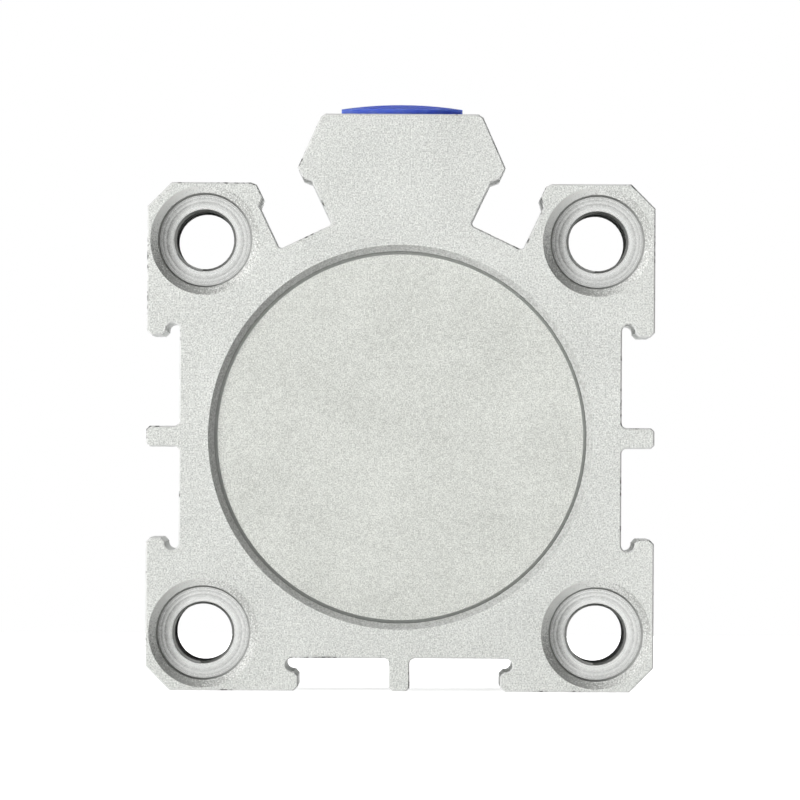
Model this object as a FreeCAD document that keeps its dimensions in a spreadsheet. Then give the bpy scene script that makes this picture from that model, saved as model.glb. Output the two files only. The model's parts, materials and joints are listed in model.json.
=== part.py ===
import FreeCAD, Part
import os
import re

import Sketcher

# A compact double-acting pneumatic cylinder with a square extruded barrel.
# The bore runs along Y. The origin is on the bore axis in the rear face, the rod points to +Y,
# and the rail with the two air ports is on top, along +Z. Lengths are millimetres, angles degrees.

# Driving sizes, one per cell of the sheet.
SIZES = {
    # Barrel section
    "bore": 32.0,
    "side_wall": 3.15,
    "channel_depth": 2.85,
    "channel_width": 17.5,
    "corner_cut": 2.1,
    "rib_width": 1.8,
    "rib_edge": 0.3,
    "rib_round": 0.45,
    "hook_gap": 1.15,
    "hook_edge": 0.4,
    "hook_slant": 0.35,
    "hook_land": 0.125,
    "boss_rise": 6.0,
    "boss_top_width": 13.85,
    "boss_flank": 24.0,
    "boss_edge": 0.3,
    "slot_tilt": 25.5,
    "slot_wall": 3.2,
    "slot_width": 5.0,
    "slot_depth": 4.1,
    "slot_mouth": 3.85,
    "slot_lip_slope": 0.6,
    "slot_round": 0.35,
    "lug_edge": 0.2,
    "edge_break": 0.12,
    # Corner holes, counterbored and tapped from both ends
    "hole_edge": 5.0,
    "hole_dia": 5.2,
    "thread_dia": 5.4,
    "thread_depth": 10.0,
    "sink_dia": 8.2,
    "sink_depth": 5.5,
    "sink_bevel": 0.65,
    "sink_edge": 0.16,
    # Air ports
    "port_dia": 9.1,
    "port_bevel": 0.45,
    "port_wall": 3.5,
    "passage_dia": 3.0,
    "passage_inset": 1.7,
    "passage_offset": 1.8,
    # Stroke and fits
    "stroke": 20.0,
    "fit_gap": 0.02,
    "running_gap": 0.03,
    "seal_gap": 0.04,
    "stop_gap": 0.05,
    # Head cover, staked under a rolled lip
    "head_thickness": 4.65,
    "head_recess": 0.85,
    "head_step": 0.5,
    "head_groove_start": 1.6,
    "lip_overlap": 0.38,
    "lip_bevel": 0.55,
    "lip_gap": 0.29,
    # Rod cover and its retaining ring
    "rod_step": 1.0,
    "rod_flange": 8.5,
    "rod_groove_start": 3.2,
    "seat_bevel": 0.4,
    "collar_edge": 0.4,
    "ring_thickness": 1.5,
    "ring_play": 0.1,
    "ring_land": 1.0,
    "ring_bite": 1.0,
    "ring_width": 2.6,
    "ring_taper": 0.5,
    "ring_gap": 2.2,
    "ear_width": 4.0,
    "ear_height": 1.85,
    "ear_clear": 1.7,
    "ear_round": 1.2,
    "ear_hole_dia": 1.7,
    # Seals, bush and bumpers
    "o_ring_cord": 1.3,
    "o_ring_space": 0.6,
    "bush_wall": 1.0,
    "bush_length": 6.0,
    "bush_land": 0.2,
    "seal_section": 3.2,
    "seal_width": 3.6,
    "seal_cheek": 1.2,
    "seal_lip": 0.8,
    "seal_notch": 1.1,
    "rod_clear": 0.3,
    "bumper_inset": 3.5,
    "bumper_width": 3.5,
    "bumper_seat": 0.9,
    "bumper_stand": 0.7,
    # Piston
    "piston_gap": 0.2,
    "piston_bevel": 1.2,
    "piston_edge": 0.6,
    "rear_half": 6.5,
    "magnet_length": 3.0,
    "front_half": 7.0,
    "magnet_inset": 1.3,
    "magnet_section": 4.5,
    "wear_start": 2.6,
    "wear_width": 3.0,
    "wear_depth": 1.1,
    "wear_split": 0.6,
    "piston_seal_land": 2.7,
    "piston_seal_width": 3.0,
    "piston_seal_depth": 2.9,
    "nut_across": 13.0,
    "nut_height": 3.8,
    "nut_bevel": 0.35,
    "nut_sink": 4.4,
    "nut_room": 0.8,
    # Rod
    "rod_dia": 12.0,
    "rod_reach": 7.0,
    "rod_bevel": 0.8,
    "rod_flat": 10.0,
    "rod_flat_length": 5.0,
    "rod_bore_depth": 12.0,
    "rod_bore_cone": 1.6,
    "rod_bore_lead": 0.4,
    "spigot_dia": 9.0,
    "spigot_cord": 1.1,
    "spigot_groove_land": 2.0,
    "tail_step": 0.5,
    "tail_inset": 0.3,
    "tail_relief": 0.6,
    # Port plugs
    "plug_gap": 0.3,
    "plug_overlap": 0.25,
    "plug_rim": 0.45,
    "plug_crown": 0.4,
    "plug_stem": 5.0,
    "plug_nose": 0.5,
    "plug_wall": 1.2,
    "plug_slit": 1.0,
    "plug_slit_land": 1.6,
}

# Sizes that follow from the driving ones.
WORKED = {
    # Barrel section
    "bore_radius": "bore / 2",
    "channel_floor": "bore_radius + side_wall",
    "half_width": "channel_floor + channel_depth",
    "channel_half": "channel_width / 2",
    "rib_half": "rib_width / 2",
    "hook_inner": "channel_floor + hook_gap",
    "notch_radius": "hook_gap / 2",
    "notch_middle": "channel_floor + notch_radius",
    "notch_centre": "channel_half + hook_slant + hook_land",
    "boss_top": "half_width + boss_rise",
    "boss_half": "boss_top_width / 2",
    "boss_foot": "boss_half + boss_rise * tan(boss_flank)",
    "slot_floor": "bore_radius + slot_wall",
    "slot_half": "slot_width / 2",
    "mouth_half": "slot_mouth / 2",
    "lip_under": "slot_floor + slot_depth",
    "lug_corner": "(half_width + mouth_half * sin(slot_tilt)) / cos(slot_tilt) - lug_edge",
    # Corner holes
    "hole_offset": "half_width - hole_edge",
    "hole_radius": "hole_dia / 2",
    "thread_radius": "thread_dia / 2",
    "thread_end": "sink_depth + thread_depth",
    "thread_taper": "thread_radius - hole_radius",
    "sink_radius": "sink_dia / 2",
    # Places along the bore
    "head_chamber": "head_recess + head_thickness",
    "piston_rest": "head_chamber + bumper_stand",
    "magnet_end": "rear_half + magnet_length",
    "piston_length": "magnet_end + front_half",
    "rod_chamber": "piston_rest + piston_length + stroke + bumper_stand",
    "ring_back": "rod_chamber + rod_flange",
    "ring_front": "ring_back + ring_thickness + ring_play",
    "body_length": "ring_front + ring_land",
    "head_passage": "head_chamber + passage_inset",
    "rod_passage": "rod_chamber - passage_inset",
    "head_port": "head_passage + passage_offset",
    "rod_port": "rod_passage - passage_offset",
    # Air ports and plugs
    "port_radius": "port_dia / 2",
    "port_floor": "bore_radius + port_wall",
    "passage_radius": "passage_dia / 2",
    "plug_radius": "port_radius + port_bevel + plug_overlap",
    "stem_radius": "port_radius - plug_gap",
    "stem_hollow": "stem_radius - plug_wall",
    "plug_top": "plug_rim + plug_crown",
    "plug_dome": "(plug_radius ^ 2 + plug_crown ^ 2) / (2 * plug_crown)",
    # Head cover
    "head_seat": "bore_radius + head_step",
    "lip_radius": "head_seat - lip_overlap",
    "lip_back": "head_recess + lip_gap - fit_gap",
    "lip_root": "lip_back + lip_overlap",
    "head_radius": "head_seat - fit_gap",
    "head_face": "lip_radius - lip_gap",
    "head_bevel": "head_radius - head_face",
    # Round seals of the covers
    "o_ring_groove": "o_ring_cord + o_ring_space",
    "o_ring_depth": "o_ring_cord + fit_gap",
    "o_ring_radius": "o_ring_cord / 2 - fit_gap / 2",
    "head_o_ring": "head_radius - o_ring_depth / 2",
    "rod_o_ring": "rod_cover_radius - o_ring_depth / 2",
    # Rod cover, bush, rod seal and ring
    "rod_radius": "rod_dia / 2",
    "rod_seat": "bore_radius + rod_step",
    "rod_cover_radius": "rod_seat - fit_gap",
    "bush_inner": "rod_radius + running_gap",
    "bush_outer": "rod_radius + bush_wall",
    "bush_seat": "bush_outer + fit_gap",
    "seal_start": "bush_length + bush_land",
    "seal_end": "seal_start + seal_width",
    "seal_groove": "rod_radius + seal_section",
    "collar_end": "seal_end + seal_cheek",
    "collar_radius": "ear_end - ear_clear",
    "rod_pass": "rod_radius + rod_clear",
    "ring_groove": "rod_seat + ring_bite",
    "ring_radius": "ring_groove - stop_gap",
    "ring_inner": "ring_radius - ring_width + ring_taper / 2",
    "ring_shift": "ring_taper / 2",
    "ear_edge": "ring_gap + ear_width",
    "ear_end": "ear_root - ear_height",
    "ear_root": "ring_shift + sqrt(ring_inner ^ 2 - ear_edge ^ 2)",
    "ring_top": "sqrt(ring_radius ^ 2 - ring_gap ^ 2)",
    "bumper_inner": "rod_radius + bumper_inset",
    "bumper_outer": "bumper_inner + bumper_width",
    "bumper_height": "bumper_seat + bumper_stand - stop_gap",
    # Piston
    "piston_radius": "bore_radius - piston_gap",
    "wear_end": "wear_start + wear_width",
    "wear_floor": "piston_radius - wear_depth",
    "lip_run": "bore_radius - seal_gap",
    "magnet_outer": "piston_radius - magnet_inset",
    "magnet_inner": "magnet_outer - magnet_section",
    "seal_front": "piston_length - piston_seal_land",
    "seal_back": "seal_front - piston_seal_width",
    "seal_middle": "(seal_front + seal_back) / 2",
    "seal_floor": "piston_radius - piston_seal_depth",
    "nut_corner": "nut_across / 2 / cos(30)",
    "nut_well": "nut_corner + nut_room",
    "nut_back": "nut_sink - nut_height",
    # Rod
    "rod_tip": "body_length + rod_reach - piston_rest",
    "flat_half": "rod_flat / 2",
    "flat_start": "rod_tip - rod_flat_length",
    "spigot_radius": "spigot_dia / 2",
    "spigot_bore": "spigot_radius + fit_gap",
    "tail_radius": "spigot_radius - tail_step",
    "tail_start": "nut_sink + tail_relief",
    "spigot_groove": "spigot_cord + o_ring_space",
    "spigot_depth": "spigot_cord + fit_gap",
    "spigot_groove_end": "piston_length - spigot_groove_land",
    "spigot_groove_start": "spigot_groove_end - spigot_groove",
}

doc = FreeCAD.newDocument("compact_cylinder")
sheet = doc.addObject("Spreadsheet::Sheet", "sizes")
for row, (alias, size) in enumerate(SIZES.items(), start=1):
    sheet.set(f"A{row}", alias)
    sheet.set(f"B{row}", str(size))
    sheet.setAlias(f"B{row}", alias)
worked = doc.addObject("App::VarSet", "worked")
for name in WORKED:
    worked.addProperty("App::PropertyFloat", name)
doc.recompute()


def bound(formula):
    """Point each size name in a formula at the cell or worked value that holds it."""

    def with_owner(match):
        word = match.group()
        if word in SIZES:
            return f"sizes.{word}"
        if word in WORKED:
            return f"worked.{word}"
        return word

    return re.sub(r"[a-z][a-z_]*", with_owner, formula)


def number(formula):
    """The present value of a formula."""
    return float(sheet.evalExpression(bound(formula)))


for name, formula in WORKED.items():
    worked.setExpression(name, bound(formula))
doc.recompute()

sub_parts = []


def new_body(label, y="0", z="0"):
    """An empty body with its own label, placed along the bore axis and above it."""
    body = doc.addObject("PartDesign::Body", label)
    body.Label = label
    body.setExpression("Placement.Base.y", bound(y))
    body.setExpression("Placement.Base.z", bound(z))
    sub_parts.append(body)
    return body


def origin_feature(body, role):
    """One of the body's own planes or axes, such as XZ_Plane or Y_Axis."""
    return next(item for item in body.Origin.OriginFeatures if item.Role == role)


def new_sketch(body, name, plane):
    """An empty sketch on one of the body's own planes."""
    sketch = body.newObject("Sketcher::SketchObject", f"{body.Name}_{name}_sketch")
    sketch.AttachmentSupport = [(origin_feature(body, plane), "")]
    sketch.MapMode = "FlatFace"
    return sketch


def shift_sketch(sketch, x="0", y="0", z="0"):
    """Move a sketch along its own axes by three formulas."""
    for axis, formula in (("x", x), ("y", y), ("z", z)):
        sketch.setExpression(f"AttachmentOffset.Base.{axis}", bound(formula))


def pin_point(sketch, element, spot, x, y):
    """Hold one point of a sketch element at a place given by two formulas."""
    for kind, formula in (("DistanceX", x), ("DistanceY", y)):
        rule = Sketcher.Constraint(kind, -1, 1, element, spot, number(formula))
        place = sketch.addConstraint(rule)
        sketch.setExpression(f"Constraints[{place}]", bound(formula))


def draw_arc(sketch, here, there, centre, bend):
    """An arc from here to there; returns its element and the numbers of its first and last points."""
    circle = Part.Circle(centre, FreeCAD.Vector(0, 0, 1), (here - centre).Length)
    first, last = (here, there) if bend == "left" else (there, here)
    angles = [FreeCAD.Vector(1, 0, 0).getAngle(point - centre) for point in (first, last)]
    start, end = [-angle if point.y < centre.y else angle for angle, point in zip(angles, (first, last))]
    element = sketch.addGeometry(Part.ArcOfCircle(circle, start, end))
    return (element, 1, 2) if bend == "left" else (element, 2, 1)


def draw_loop(sketch, corners):
    """A closed outline. A corner is x, y, or x, y, centre x, centre y, bend where an arc leads on."""
    points = [FreeCAD.Vector(number(corner[0]), number(corner[1]), 0) for corner in corners]
    pieces = []
    for corner, here, there in zip(corners, points, points[1:] + points[:1]):
        if len(corner) == 2:
            pieces.append((sketch.addGeometry(Part.LineSegment(here, there)), 1, 2))
            continue
        centre_x, centre_y, bend = corner[2:]
        centre = FreeCAD.Vector(number(centre_x), number(centre_y), 0)
        piece = draw_arc(sketch, here, there, centre, bend)
        chord = there - here
        upright = abs(chord.y) > abs(chord.x)
        kind, formula = ("DistanceX", centre_x) if upright else ("DistanceY", centre_y)
        place = sketch.addConstraint(Sketcher.Constraint(kind, -1, 1, piece[0], 3, number(formula)))
        sketch.setExpression(f"Constraints[{place}]", bound(formula))
        pieces.append(piece)
    for corner, piece, before in zip(corners, pieces, pieces[-1:] + pieces[:-1]):
        sketch.addConstraint(Sketcher.Constraint("Coincident", before[0], before[2], piece[0], piece[1]))
        pin_point(sketch, piece[0], piece[1], corner[0], corner[1])


def draw_circle(sketch, x, y, radius):
    """A circle with its centre and radius given by formulas."""
    centre = FreeCAD.Vector(number(x), number(y), 0)
    element = sketch.addGeometry(Part.Circle(centre, FreeCAD.Vector(0, 0, 1), number(radius)))
    pin_point(sketch, element, 3, x, y)
    place = sketch.addConstraint(Sketcher.Constraint("Radius", element, number(radius)))
    sketch.setExpression(f"Constraints[{place}]", bound(radius))


def draw_box(sketch, left, bottom, right, top):
    """A rectangle between two corners given by formulas."""
    draw_loop(sketch, [(left, bottom), (right, bottom), (right, top), (left, top)])


def pad(body, sketch, length):
    """Raise a sketch on the XZ plane towards +Y."""
    feature = body.newObject("PartDesign::Pad", f"{sketch.Name}_pad")
    feature.Profile = sketch
    feature.Reversed = True
    feature.setExpression("Length", bound(length))
    return feature


def turn(body, sketch, axis="H_Axis", cut=False):
    """Revolve a sketch about its own axis, to add a solid or to cut one away."""
    kind = "Groove" if cut else "Revolution"
    feature = body.newObject(f"PartDesign::{kind}", f"{sketch.Name}_{kind.lower()}")
    feature.Profile = sketch
    feature.ReferenceAxis = (sketch, [axis])
    feature.Angle = 360
    return feature


def cut_through(body, sketch, reverse=False, both=False):
    """Cut a sketch through the whole body, one way or both ways."""
    feature = body.newObject("PartDesign::Pocket", f"{sketch.Name}_pocket")
    feature.Profile = sketch
    feature.Type = "ThroughAll"
    feature.Reversed = reverse
    if both:
        feature.SideType = "Symmetric"
    return feature


def pattern(body, feature, axis, angle, count):
    """Repeat a feature about one of the body's own axes."""
    copies = body.newObject("PartDesign::PolarPattern", f"{feature.Name}_pattern")
    copies.Originals = [feature]
    copies.Axis = (origin_feature(body, axis), [""])
    copies.Angle = angle
    copies.Occurrences = count
    body.Tip = copies
    return copies


def mirror(body, feature, plane):
    """Repeat a feature on the other side of one of the body's own planes."""
    copy = body.newObject("PartDesign::Mirrored", f"{feature.Name}_mirror")
    copy.Originals = [feature]
    copy.MirrorPlane = (origin_feature(body, plane), [""])
    body.Tip = copy
    return copy


def turned_part(label, corners, y="0"):
    """A body turned about the bore axis from its half section of places along and out from the axis."""
    body = new_body(label, y)
    section = new_sketch(body, "section", "YZ_Plane")
    draw_loop(section, corners)
    turn(body, section)
    return body


def o_ring(label, along, radius, cord_radius, y):
    """A round seal with its cord centred at a place along and out from the bore axis."""
    body = new_body(label, y)
    section = new_sketch(body, "section", "YZ_Plane")
    draw_circle(section, along, radius, cord_radius)
    turn(body, section)


# Barrel

def make_barrel():
    """The extruded body: outline, switch channels and slots, bore, corner holes and air ports."""
    body = new_body("barrel")
    outline = new_sketch(body, "outline", "XZ_Plane")
    right = [
        ("half_width - corner_cut", "-half_width"),
        ("half_width", "corner_cut - half_width"),
        ("half_width", "half_width - corner_cut"),
        ("half_width - corner_cut", "half_width"),
        ("boss_foot", "half_width"),
        ("boss_half + boss_edge * tan(boss_flank)", "boss_top - boss_edge"),
        ("boss_half - boss_edge", "boss_top"),
    ]
    left = [(f"-({x})", z) for x, z in reversed(right)]
    draw_loop(outline, right + left)
    pad(body, outline, "body_length")
    cut_channels(body)
    cut_slots(body)
    cut_bore(body)
    cut_corner_holes(body)
    cut_port(body, "head", "head_port", "head_passage")
    cut_port(body, "rod", "rod_port", "rod_passage")
    break_end_edges(body)


def cut_channels(body):
    """A hooked channel with a middle rib in both sides and the bottom."""
    sketch = new_sketch(body, "channel", "XZ_Plane")
    rib_foot = "rib_half + rib_round"
    half = [
        ("half_width + rib_edge", "rib_half - 2 * rib_edge"),
        ("half_width + rib_edge", "channel_half + hook_edge + rib_edge"),
        ("half_width - hook_edge", "channel_half"),
        ("hook_inner + hook_slant", "channel_half"),
        ("hook_inner", "channel_half + hook_slant"),
        ("hook_inner", "notch_centre", "notch_middle", "notch_centre", "left"),
        ("channel_floor", "notch_centre"),
        ("channel_floor", rib_foot, "channel_floor + rib_round", rib_foot, "left"),
        ("channel_floor + rib_round", "rib_half"),
        ("half_width - rib_edge", "rib_half"),
    ]
    draw_loop(sketch, half)
    lower = []
    for corner in half:
        if len(corner) == 2:
            lower.append((corner[0], f"-({corner[1]})"))
        else:
            lower.append((corner[0], f"-({corner[1]})", corner[2], f"-({corner[3]})", "right"))
    draw_loop(sketch, lower)
    pocket = cut_through(body, sketch)
    pattern(body, pocket, "Y_Axis", 180, 3)


def cut_slots(body):
    """A tilted switch slot on each side of the port rail, aimed at the bore axis."""
    sketch = new_sketch(body, "slot", "XZ_Plane")
    sketch.AttachmentOffset = FreeCAD.Placement(
        FreeCAD.Vector(), FreeCAD.Rotation(FreeCAD.Vector(0, 0, 1), -number("slot_tilt"))
    )
    sketch.setExpression("AttachmentOffset.Rotation.Angle", bound("-slot_tilt"))
    floor_round = "slot_floor + slot_round"
    floor_end = "(slot_half - slot_round)"
    draw_loop(
        sketch,
        [
            ("-slot_half", floor_round, f"-{floor_end}", floor_round, "left"),
            (f"-{floor_end}", "slot_floor"),
            (floor_end, "slot_floor", floor_end, floor_round, "left"),
            ("slot_half", floor_round),
            ("slot_half", "lip_under"),
            ("mouth_half", "lip_under + slot_lip_slope"),
            ("mouth_half", "lug_corner"),
            ("mouth_half + boss_top - lug_corner", "boss_top"),
            ("-mouth_half", "boss_top"),
            ("-mouth_half", "lip_under + slot_lip_slope"),
            ("-slot_half", "lip_under"),
        ],
    )
    pocket = cut_through(body, sketch)
    mirror(body, pocket, "YZ_Plane")


def cut_bore(body):
    """The bore with the staked head seat at the rear and the rod cover's seat at the front."""
    sketch = new_sketch(body, "bore", "YZ_Plane")
    draw_loop(
        sketch,
        [
            ("-lip_bevel", "0"),
            ("-lip_bevel", "lip_radius + 2 * lip_bevel"),
            ("lip_bevel", "lip_radius"),
            ("lip_back", "lip_radius"),
            ("lip_root", "head_seat"),
            ("head_chamber", "head_seat"),
            ("head_chamber", "bore_radius"),
            ("rod_chamber", "bore_radius"),
            ("rod_chamber", "rod_seat"),
            ("ring_back", "rod_seat"),
            ("ring_back", "ring_groove"),
            ("ring_front", "ring_groove"),
            ("ring_front", "rod_seat"),
            ("body_length - seat_bevel", "rod_seat"),
            ("body_length + seat_bevel", "rod_seat + 2 * seat_bevel"),
            ("body_length + seat_bevel", "0"),
        ],
    )
    turn(body, sketch, cut=True)


def cut_corner_holes(body):
    """Four through holes, counterbored and tapped from both ends; the threads are left plain."""
    sketch = new_sketch(body, "hole", "YZ_Plane")
    shift_sketch(sketch, y="hole_offset", z="hole_offset")
    rear = [
        ("-sink_bevel", "sink_radius + 2 * sink_bevel"),
        ("sink_bevel", "sink_radius"),
        ("sink_depth - sink_edge", "sink_radius"),
        ("sink_depth", "sink_radius - sink_edge"),
        ("sink_depth", "thread_radius"),
        ("thread_end", "thread_radius"),
        ("thread_end + thread_taper", "hole_radius"),
    ]
    front = [(f"body_length - ({along})", out) for along, out in reversed(rear)]
    ends = [("body_length + sink_bevel", "0"), ("-sink_bevel", "0")]
    draw_loop(sketch, rear + front + ends)
    groove = turn(body, sketch, cut=True)
    pattern(body, groove, "Y_Axis", 360, 4)


def cut_port(body, name, port, passage):
    """An air port in the rail, with a passage from its floor to the end of the chamber."""
    sketch = new_sketch(body, f"{name}_port", "YZ_Plane")
    shift_sketch(sketch, x=port)
    draw_loop(
        sketch,
        [
            ("0", "port_floor"),
            ("port_radius", "port_floor"),
            ("port_radius", "boss_top - port_bevel"),
            ("port_radius + 2 * port_bevel", "boss_top + port_bevel"),
            ("0", "boss_top + port_bevel"),
        ],
    )
    turn(body, sketch, axis="V_Axis", cut=True)
    drill = new_sketch(body, f"{name}_passage", "XY_Plane")
    draw_circle(drill, "0", passage, "passage_radius")
    cut_through(body, drill, reverse=True)


def break_end_edges(body):
    """Break the sharp outline edges that the saw leaves at both ends."""
    doc.recompute()
    base = body.Tip
    solid = base.Shape
    hair = 1e-6
    names = []
    for place in (0.0, number("body_length")):
        flat = [face for face in solid.Faces if face.BoundBox.YLength < hair]
        ends = [face for face in flat if abs(face.BoundBox.YMin - place) < hair]
        outline = max(ends, key=lambda face: face.Area).OuterWire
        for edge in outline.Edges:
            names += [f"Edge{i}" for i, other in enumerate(solid.Edges, start=1) if other.isSame(edge)]
    chamfer = body.newObject("PartDesign::Chamfer", "barrel_edge_break")
    chamfer.Base = (base, names)
    chamfer.setExpression("Size", bound("edge_break"))
    body.Tip = chamfer


# Head end

def make_head_end():
    """The staked head cover with its seal and bumper."""
    groove_end = "head_groove_start + o_ring_groove"
    turned_part(
        "head_cover",
        [
            ("0", "0"),
            ("0", "head_face"),
            ("head_bevel", "head_radius"),
            ("head_groove_start", "head_radius"),
            ("head_groove_start", "head_radius - o_ring_depth"),
            (groove_end, "head_radius - o_ring_depth"),
            (groove_end, "head_radius"),
            ("head_thickness", "head_radius"),
            ("head_thickness", "bumper_outer + fit_gap"),
            ("head_thickness - bumper_seat", "bumper_outer + fit_gap"),
            ("head_thickness - bumper_seat", "bumper_inner - fit_gap"),
            ("head_thickness", "bumper_inner - fit_gap"),
            ("head_thickness", "0"),
        ],
        y="head_recess",
    )
    middle = "head_groove_start + o_ring_groove / 2"
    o_ring("head_cover_o_ring", middle, "head_o_ring", "o_ring_radius", y="head_recess")
    make_bumper("head_bumper", y="head_chamber - bumper_seat")


def make_bumper(label, y):
    """A soft stop ring that stands a little out of its seat."""
    corners = [
        ("0", "bumper_inner"),
        ("0", "bumper_outer"),
        ("bumper_height", "bumper_outer"),
        ("bumper_height", "bumper_inner"),
    ]
    turned_part(label, corners, y)


# Rod end

def make_rod_end():
    """The rod cover with its seals, bush and bumper, held by the retaining ring."""
    groove_end = "rod_groove_start + o_ring_groove"
    turned_part(
        "rod_cover",
        [
            ("0", "bush_seat"),
            ("0", "bumper_inner - fit_gap"),
            ("bumper_seat", "bumper_inner - fit_gap"),
            ("bumper_seat", "bumper_outer + fit_gap"),
            ("0", "bumper_outer + fit_gap"),
            ("0", "rod_cover_radius"),
            ("rod_groove_start", "rod_cover_radius"),
            ("rod_groove_start", "rod_cover_radius - o_ring_depth"),
            (groove_end, "rod_cover_radius - o_ring_depth"),
            (groove_end, "rod_cover_radius"),
            ("rod_flange", "rod_cover_radius"),
            ("rod_flange", "collar_radius"),
            ("collar_end - collar_edge", "collar_radius"),
            ("collar_end", "collar_radius - collar_edge"),
            ("collar_end", "rod_pass"),
            ("seal_end", "rod_pass"),
            ("seal_end", "seal_groove"),
            ("seal_start", "seal_groove"),
            ("seal_start", "bush_seat"),
        ],
        y="rod_chamber",
    )
    middle = "rod_groove_start + o_ring_groove / 2"
    o_ring("rod_cover_o_ring", middle, "rod_o_ring", "o_ring_radius", y="rod_chamber")
    make_bumper("rod_bumper", y="rod_chamber - bumper_stand + stop_gap")
    bush = [
        ("0", "bush_inner"),
        ("0", "bush_outer"),
        ("bush_length", "bush_outer"),
        ("bush_length", "bush_inner"),
    ]
    turned_part("rod_bush", bush, y="rod_chamber")
    make_rod_seal()
    make_retaining_ring()


def make_rod_seal():
    """A lip seal: a pressure lip towards the chamber, a wiper lip towards the outside."""
    lip_face = "rod_radius + seal_gap"
    waist = "rod_radius + seal_lip"
    back = "seal_groove - fit_gap"
    end = "seal_width - stop_gap"
    turned_part(
        "rod_seal",
        [
            ("stop_gap", back),
            (end, back),
            (end, waist),
            (f"{end} - seal_lip / 2", lip_face),
            (f"{end} - seal_lip", lip_face),
            (f"{end} - seal_lip * 3 / 2", waist),
            ("seal_notch + seal_lip / 2", waist),
            ("seal_lip", lip_face),
            ("seal_lip / 2", lip_face),
            ("stop_gap", "rod_radius + seal_lip / 2"),
            ("seal_notch", f"{waist} + seal_lip / 2"),
            ("seal_notch", f"{back} - seal_lip"),
            ("stop_gap", f"{back} - seal_lip / 2"),
        ],
        y="rod_chamber + seal_start",
    )


def make_retaining_ring():
    """An internal snap ring, widest opposite its gap, with an eyed ear on each side of the gap."""
    body = new_body("retaining_ring", y="ring_back")
    sketch = new_sketch(body, "outline", "XZ_Plane")
    ear_side = "ear_edge - ear_round"
    ear_round_z = "ear_end + ear_round"
    near = "ring_gap + ear_round"
    draw_loop(
        sketch,
        [
            ("ring_gap", "ring_top", "0", "0", "right"),
            ("-ring_gap", "ring_top"),
            ("-ring_gap", ear_round_z, f"-({near})", ear_round_z, "right"),
            (f"-({near})", "ear_end"),
            (f"-({ear_side})", "ear_end", f"-({ear_side})", ear_round_z, "right"),
            ("-ear_edge", ear_round_z),
            ("-ear_edge", "ear_root", "0", "ring_shift", "left"),
            ("ear_edge", "ear_root"),
            ("ear_edge", ear_round_z, ear_side, ear_round_z, "right"),
            (ear_side, "ear_end"),
            (near, "ear_end", near, ear_round_z, "right"),
            ("ring_gap", ear_round_z),
        ],
    )
    eye_height = "(ear_end + ear_root) / 2"
    for side in ("", "-"):
        draw_circle(sketch, f"{side}(ring_gap + ear_width / 2)", eye_height, "ear_hole_dia / 2")
    pad(body, sketch, "ring_thickness")


# Piston and rod

def make_piston():
    """The two piston halves with the magnet between them, and the rings that run in the bore."""
    turned_part(
        "piston_rear",
        [
            ("0", "nut_well"),
            ("0", "piston_radius - piston_bevel"),
            ("piston_bevel", "piston_radius"),
            ("wear_start", "piston_radius"),
            ("wear_start", "wear_floor"),
            ("wear_end", "wear_floor"),
            ("wear_end", "piston_radius"),
            ("rear_half", "piston_radius"),
            ("rear_half", "spigot_bore"),
            ("nut_sink", "spigot_bore"),
            ("nut_sink", "nut_well"),
        ],
        y="piston_rest",
    )
    turned_part(
        "piston_front",
        [
            ("rear_half", "spigot_bore"),
            ("rear_half", "magnet_inner - fit_gap"),
            ("magnet_end", "magnet_inner - fit_gap"),
            ("magnet_end", "piston_radius"),
            ("seal_back", "piston_radius"),
            ("seal_back", "seal_floor"),
            ("seal_front", "seal_floor"),
            ("seal_front", "piston_radius"),
            ("piston_length - piston_edge", "piston_radius"),
            ("piston_length", "piston_radius - piston_edge"),
            ("piston_length", "spigot_bore"),
        ],
        y="piston_rest",
    )
    magnet = [
        ("rear_half", "magnet_inner"),
        ("rear_half", "magnet_outer"),
        ("magnet_end", "magnet_outer"),
        ("magnet_end", "magnet_inner"),
    ]
    turned_part("magnet_ring", magnet, y="piston_rest")
    make_piston_seal()
    make_wear_ring()
    middle = "spigot_groove_start + spigot_groove / 2"
    cord_radius = "spigot_cord / 2 - fit_gap / 2"
    o_ring("piston_o_ring", middle, "spigot_radius - spigot_depth / 2", cord_radius, y="piston_rest")
    make_piston_nut()


def make_piston_seal():
    """A double-acting seal with a lip at each side and a relief between the lips."""
    heel = "seal_floor + fit_gap"
    shoulder = "piston_radius - seal_lip"
    back = "seal_back + stop_gap"
    front = "seal_front - stop_gap"
    turned_part(
        "piston_seal",
        [
            (back, heel),
            (front, heel),
            (front, shoulder),
            (f"{front} - seal_lip / 4", "lip_run"),
            (f"{front} - seal_lip", "lip_run"),
            ("seal_middle + seal_lip / 4", shoulder),
            ("seal_middle - seal_lip / 4", shoulder),
            (f"{back} + seal_lip", "lip_run"),
            (f"{back} + seal_lip / 4", "lip_run"),
            (back, shoulder),
        ],
        y="piston_rest",
    )


def make_wear_ring():
    """A guide strip bent into a ring, with a gap where its ends meet."""
    strip = [
        ("wear_start + stop_gap", "wear_floor + fit_gap"),
        ("wear_start + stop_gap", "lip_run"),
        ("wear_end - stop_gap", "lip_run"),
        ("wear_end - stop_gap", "wear_floor + fit_gap"),
    ]
    body = turned_part("wear_ring", strip, y="piston_rest")
    split = new_sketch(body, "split", "XZ_Plane")
    draw_box(split, "-wear_split / 2", "wear_floor - wear_depth", "wear_split / 2", "bore_radius")
    cut_through(body, split)


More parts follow.
